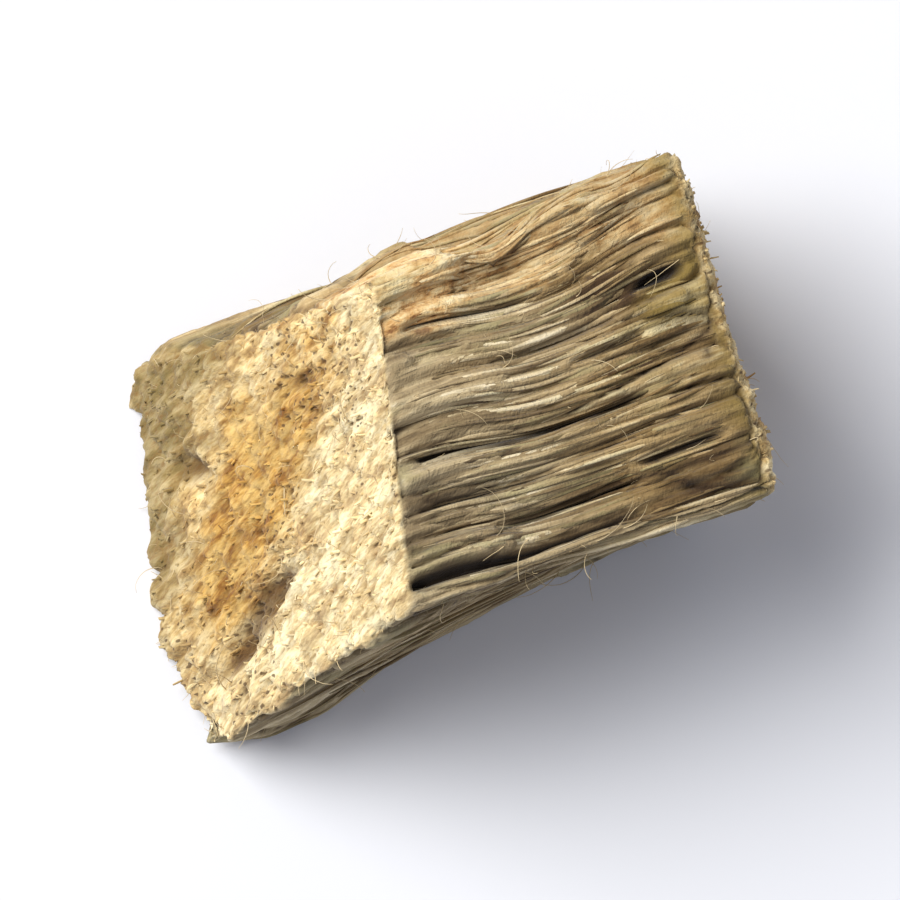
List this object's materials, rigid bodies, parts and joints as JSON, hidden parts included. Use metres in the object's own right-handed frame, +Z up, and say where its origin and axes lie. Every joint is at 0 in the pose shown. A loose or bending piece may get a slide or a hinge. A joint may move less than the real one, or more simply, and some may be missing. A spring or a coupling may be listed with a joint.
{
  "type": "diced dried kudzu root",
  "caption": "Single diced piece of dried kudzu root: a lopsided fibrous block with ribbed, split long sides and two slanting cut ends.",
  "frame": {"origin": "on the surface that the piece lies on, under the middle of its bounding box", "axes": "+X along the fibres, from the broad slanting cut end towards the undercut end; +Y across the piece, to its back; +Z up"},
  "size_m": [0.0152, 0.0092, 0.0089],
  "materials": {
    "dried_root": "matte, fibrous and starchy, pale tan with brown creases"
  },
  "bodies": {
    "root": {"kudzu_root_cube": "dried_root"}
  },
  "joints": []
}
